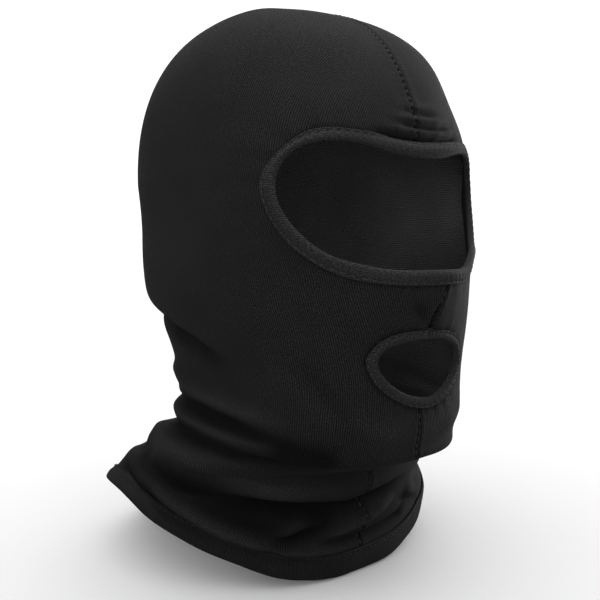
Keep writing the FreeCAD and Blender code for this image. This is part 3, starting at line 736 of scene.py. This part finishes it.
EYE_PROF = [(1.03, .55), (1.02, .95), (.975, 1.15), (.92, 1.08), (.87, .78), (.83, .70), (.78, .92), (.70, 1.3), (.60, 1.55), (.48, 1.7),
            (.36, 1.72), (.24, 1.62), (.13, 1.4), (.05, 1.0), (0, .45), (-.02, -.1), (-.02, -.7), (.02, -1.25), (.10, -1.65), (.22, -1.85), (.4, -1.9),
            (.6, -1.9), (.8, -1.85), (.95, -1.8), (1.06, -1.75)]
eye_b, eye_run, eye_total, eye_count = binding("eye_binding_strip", eye_i, eye_o, m_bind, EYE_PROF, .34)
mouth_b, mouth_run, mouth_total, mouth_count = binding("mouth_binding_strip", mouth_i, mouth_o, m_bind, EYE_PROF, .24)


# ------------------------------------------------------------------ the turned-up hem
HEM_PROF = [(14.6, .75), (14.3, 1.15), (13.6, 1.35), (12.7, 1.1), (12.1, .85), (11.5, .95), (10.4, 1.35), (8.8, 1.75), (7.0, 1.9), (5.0, 1.9), (3.2, 1.8),
            (1.8, 1.5), (.8, 1.0), (.25, .4), (.05, -.2), (.3, -.9), (1.0, -1.5), (2.4, -1.85), (4.5, -1.95), (7, -1.95), (9.5, -1.9), (12, -1.85), (14.4, -1.8)]


def make_hem():
    nc = 460
    fine = np.linspace(-np.pi, np.pi, 2881)
    p = base(fine, height(fine, np.full(fine.shape, 6.0)))
    c = np.r_[0, np.cumsum(np.linalg.norm(np.diff(p, axis=0), axis=1))]
    s = np.linspace(0, c[-1], nc, endpoint=False)
    t = np.interp(s, c, fine)
    total = c[-1]
    count = round(total / STITCH)
    beat = np.cos(2 * np.pi * s / total * count)
    k = s * (2 * np.pi / total)
    wavy = 1.0 * np.sin(5 * k + .7) + .7 * np.sin(9 * k + 2.1) + .4 * np.sin(17 * k + 1)
    rows, uvs, path, last = [], [], 0, None
    for w, h in HEM_PROF:
        near = math.exp(-((w - 12) / 1.4) ** 2)
        P, n = shape(t, np.full(nc, w))
        edge = max(0, 1 - w / 13)
        hh = h + (.22 * beat * near if h > 0 else 0) + .9 * edge * wavy * (.5 + .5 * edge)
        Q = P + n * hh[:, None]
        Q[:, 2] = np.maximum(Q[:, 2], .15)
        rows.append(Q)
        if last is not None:
            path += float(np.linalg.norm(Q - last, axis=1).mean())
        last = Q
        uvs.append(np.stack([s, np.full(nc, path)], -1))
    V = np.stack([np.vstack([r, r[:1]]) for r in rows])
    U = np.stack([np.vstack([q, [[total, q[0, 1]]]]) for q in uvs])
    o = make("neck_hem_band", V.reshape(-1, 3), grid_faces(len(rows), nc + 1), U.reshape(-1, 2), [m_hem, m_inside_painted_light])
    clean(o, .01)
    f = o.data.polygons[nc * 8]
    ctr = Vector((0, .03, f.center.z))
    if f.normal.dot(f.center - ctr) < 0:
        o.data.flip_normals()
    thicken(o, .8, offset=-1)
    return o, t, s, total, count


hem_b, hem_t, hem_s, hem_total, hem_count = make_hem()


# ------------------------------------------------------------------ stitches
def capsules(name, centres, dirs, normals, length, rad, mat=None):
    """short round stitches, each a capsule that is a little flattened on to the cloth"""
    k = 8
    prof = [(-.5, 0), (-.46, .55), (-.36, .9), (0, 1.0), (.36, .9), (.46, .55), (.5, 0)]
    verts, faces = [], []
    for c, d, n in zip(centres, dirs, normals):
        d = d / np.linalg.norm(d)
        n = n - d * (n @ d)
        n /= np.linalg.norm(n)
        b = np.cross(d, n)
        at = len(verts)
        ring = []
        for a, r in prof:
            if r == 0:
                ring.append([len(verts)])
                verts.append(c + d * a * length - n * .18)
                continue
            row = []
            for i in range(k):
                th = 2 * np.pi * i / k
                row.append(len(verts))
                verts.append(c + d * a * length + (b * math.cos(th) + n * math.sin(th) * .8) * rad * r - n * .5 * abs(a) * rad * 1.6)
            ring.append(row)
        for r1, r2 in zip(ring, ring[1:]):
            for i in range(k):
                j = (i + 1) % k
                if len(r1) == 1:
                    faces.append((r1[0], r2[j], r2[i]))
                elif len(r2) == 1:
                    faces.append((r1[i], r1[j], r2[0]))
                else:
                    faces.append((r1[i], r1[j], r2[j], r2[i]))
    o = make(name, verts, faces, None, [mat or m_thread])
    return o


def loop_stitches(name, inner, outer, q, h, total, count, slant=0.0, length=2.2, rad=.26, phase=.5):
    mid = (inner + outer) / 2
    run = np.r_[0, np.cumsum(np.linalg.norm(np.diff(mid, axis=0), axis=1)), total]
    s = (np.arange(count) + phase) * total / count

    def at(loop, ss):
        lp = np.vstack([loop, loop[:1]])
        return np.stack([np.interp(ss % total, run, lp[:, 0]), np.interp(ss % total, run, lp[:, 1])], -1)

    def point(ss, qq):
        k = at(inner, ss) + (at(outer, ss) - at(inner, ss)) * qq
        return on_surface(k[:, 0], k[:, 1])
    P, n = point(s, q)
    P1, _ = point(s + .8, q + slant)
    P0, _ = point(s - .8, q - slant)
    return capsules(name, P + n * h, P1 - P0, n, length, rad, m_top)


eye_st = loop_stitches("eye_stitches", eye_i, eye_o, .85, .88, eye_total, eye_count)
mouth_st = loop_stitches("mouth_stitches", mouth_i, mouth_o, .86, .88, mouth_total, mouth_count, slant=.16)
ti = np.interp((np.arange(hem_count) + .5) * hem_total / hem_count, np.r_[hem_s, hem_total], np.r_[hem_t, np.pi])
Ph, nh = shape(ti, np.full(ti.shape, 12.1))
Pa, _ = shape(ti + .01, np.full(ti.shape, 12.1))
Pb, _ = shape(ti - .01, np.full(ti.shape, 12.1))
hem_st = capsules("hem_stitches", Ph + nh * .98, Pa - Pb, nh, 2.2, .26)


def seam_line(zs, back=False):
    t = np.full(len(zs), np.pi if back else 0.0)
    w = np.where(zs >= BL, zs, (zs - hem(t)) / (1 - hem(t) / BL))
    P, n = shape(t, w)
    P[:, 0] = 0 if back else lean(0 * zs, zs)
    n[:, 0] = 0
    n /= np.linalg.norm(n, axis=1, keepdims=True)
    return P, n


def seam_stitches(name, parts, depth=-.35):
    """stitches across the turned-in seam, at even steps along it"""
    C, D, Nn = [], [], []
    for zs, back in parts:
        P, n = seam_line(zs, back)
        s = np.r_[0, np.cumsum(np.linalg.norm(np.diff(P, axis=0), axis=1))]
        k = np.arange(STITCH / 2, s[-1] - 1, STITCH)
        c = np.stack([np.interp(k, s, P[:, i]) for i in range(3)], -1)
        d = np.stack([np.interp(k + .5, s, P[:, i]) - np.interp(k - .5, s, P[:, i]) for i in range(3)], -1)
        m = np.stack([np.interp(k, s, n[:, i]) for i in range(3)], -1)
        C.append(c + m * depth)
        D.append(d)
        Nn.append(m)
    return capsules(name, np.vstack(C), np.vstack(D), np.vstack(Nn), 2.3, .3)


crown_z = np.r_[np.arange(219.5, 250, .5), 208 + (TOP - 208) * np.sin(np.linspace(math.asin(42 / 85.6), np.pi / 2, 300))]
back_z = np.r_[np.arange(14, 208, .5), 208 + (TOP - 208) * np.sin(np.linspace(0, np.pi / 2, 400))]
crown_st = seam_stitches("crown_seam_stitches", [(crown_z, False), (back_z, True)])
nose_st = seam_stitches("nose_seam_stitches", [(np.arange(134.5, 151.5, .3), False)])
chin_st = seam_stitches("chin_seam_stitches", [(np.arange(15, 93.5, .3), False)])


# ------------------------------------------------------------------ seam allowances inside
def allowance(name, parts):
    """the two raw edges, overlocked together and pressed flat to one side"""
    V, F, U = [], [], []
    for zs, back in parts:
        P, n = seam_line(zs, back)
        s = np.r_[0, np.cumsum(np.linalg.norm(np.diff(P, axis=0), axis=1))]
        k = np.arange(0, s[-1], 1.2)
        P = np.stack([np.interp(k, s, P[:, i]) for i in range(3)], -1)
        n = np.stack([np.interp(k, s, n[:, i]) for i in range(3)], -1)
        n /= np.linalg.norm(n, axis=1, keepdims=True)
        prof = [(-.6, -1.2), (.3, -1.35), (1.5, -1.45), (3.0, -1.5), (4.6, -1.55), (6.0, -1.6), (6.5, -1.9), (6.1, -2.5), (4.6, -2.75), (3.0, -2.8), (1.5, -2.75), (.2, -2.5), (-.6, -2.0)]
        at = len(V)
        beat = .22 * np.sin(2 * np.pi * k / 2.4)
        for j, (dx, h) in enumerate(prof):
            e = (beat if 4 < j < 11 else 0 * beat)
            q = P + n * (h - (e if h < -2 else 0 * e))[:, None]
            q[:, 0] += dx + (e if dx > 5 else 0 * e)
            # follow the cloth away from the middle
            q += n * (-dx * dx / 160.0)
            V += q.tolist()
            U += np.stack([np.full(len(k), 1.1 * j), k], -1).tolist()
        m, c = len(prof), len(k)
        for j in range(m):
            j2 = (j + 1) % m
            for i in range(c - 1):
                F.append((at + j * c + i, at + j2 * c + i, at + j2 * c + i + 1, at + j * c + i + 1))
        F.append(tuple(at + j * c for j in range(m)))
        F.append(tuple(at + j * c + c - 1 for j in reversed(range(m))))
    o = make(name, V, F, U, [m_allow])
    import bmesh
    bm = bmesh.new()
    bm.from_mesh(o.data)
    bmesh.ops.recalc_face_normals(bm, faces=bm.faces)
    bm.to_mesh(o.data)
    bm.free()
    return o


crown_al = allowance("crown_seam_edges", [(np.r_[crown_z[2:-60], ], False), (back_z[6:-70], True)])
nose_al = allowance("nose_seam_edges", [(np.arange(134, 152, .5), False)])
chin_al = allowance("chin_seam_edges", [(np.arange(16, 93, .5), False)])

pieces = {
    right: ("right_panel", "jersey"), left: ("left_panel", "jersey"), eye_b: ("eye_binding", "binding"), mouth_b: ("mouth_binding", "binding"),
    hem_b: ("neck_hem", "hem"), crown_al: ("crown_seam_allowance", "allowance"), nose_al: ("nose_seam_allowance", "allowance"),
    chin_al: ("chin_seam_allowance", "allowance"), crown_st: ("crown_seam_thread", "thread"), nose_st: ("nose_seam_thread", "thread"),
    chin_st: ("chin_seam_thread", "thread"), eye_st: ("eye_stitch_thread", "thread"), mouth_st: ("mouth_stitch_thread", "thread"),
    hem_st: ("hem_stitch_thread", "thread"),
}
for o, (node, slot) in pieces.items():
    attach(o, "root")
    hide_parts(node)

# ------------------------------------------------------------------ stage, light, camera
bpy.ops.mesh.primitive_plane_add(size=12, location=(0, 0, -.0004))
floor = bpy.context.object
floor.name = "floor"
m, t, b = new_mat("floor_paper")
n = t.nodes.new("ShaderNodeTexNoise")
n.inputs["Scale"].default_value = 3
mx = t.nodes.new("ShaderNodeMix")
mx.data_type = "RGBA"
mx.inputs["A"].default_value = (.93, .93, .93, 1)
mx.inputs["B"].default_value = (.95, .95, .95, 1)
t.links.new(n.outputs["Fac"], mx.inputs["Factor"])
t.links.new(mx.outputs["Result"], b.inputs["Base Color"])
b.inputs["Roughness"].default_value = .95
b.inputs["Specular IOR Level"].default_value = .1
floor.data.materials.append(m)

world = bpy.data.worlds.new("studio")
bpy.context.scene.world = world
world.use_nodes = True
bg = world.node_tree.nodes["Background"]
bg.inputs["Color"].default_value = (1, 1, 1, 1)
bg.inputs["Strength"].default_value = 1.15


def area(name, loc, target, size_, power, spread=math.pi):
    d = bpy.data.lights.new(name, "AREA")
    d.shape = "RECTANGLE"
    d.size, d.size_y = size_
    d.energy = power
    d.spread = spread
    o = bpy.data.objects.new(name, d)
    bpy.context.scene.collection.objects.link(o)
    o.location = loc
    o.rotation_mode = "QUATERNION"
    o.rotation_quaternion = (Vector(target) - Vector(loc)).to_track_quat("-Z", "Y")
    return o


lit = bpy.data.collections.new("lit_by_lamps")
bpy.context.scene.collection.children.link(lit)
for o in pieces:
    lit.objects.link(o)
for lamp in (area("top_light", (.05, -.12, 1.2), (0, -.03, .2), (.7, .7), 52),
             area("right_light", (1.1, -.05, .22), (0, -.05, .16), (.4, .6), 30),
             area("back_left", (-.75, .95, .55), (0, .02, .17), (.5, .5), 4),
             area("back_right", (.85, .85, .6), (0, .02, .17), (.5, .5), 13),
             area("front_fill", (-.262, -.372, .19), (.005, 0, .18), (.3, .3), 2.6)):
    lamp.light_linking.receiver_collection = lit

cam = bpy.data.cameras.new("camera")
cam_o = bpy.data.objects.new("camera", cam)
bpy.context.scene.collection.objects.link(cam_o)
R = Vector((.81257426, -.58271407, -.01293745))
U = Vector((.04850346, .04548345, .99778689))
F = Vector((.58083602, .81140345, -.06522233))
C = Vector((-.2281215, -.3244480, .1669351))
cam_o.matrix_world = Matrix(((R.x, U.x, -F.x, C.x), (R.y, U.y, -F.y, C.y), (R.z, U.z, -F.z, C.z), (0, 0, 0, 1)))
cam.sensor_width = 36
cam.lens = 685.16356 / 600 * 36
cam.clip_start, cam.clip_end = .01, 50
cam.dof.use_dof = False
bpy.context.scene.camera = cam_o
bpy.context.scene.view_settings.view_transform = "Standard"
bpy.context.scene.view_settings.look = "None"
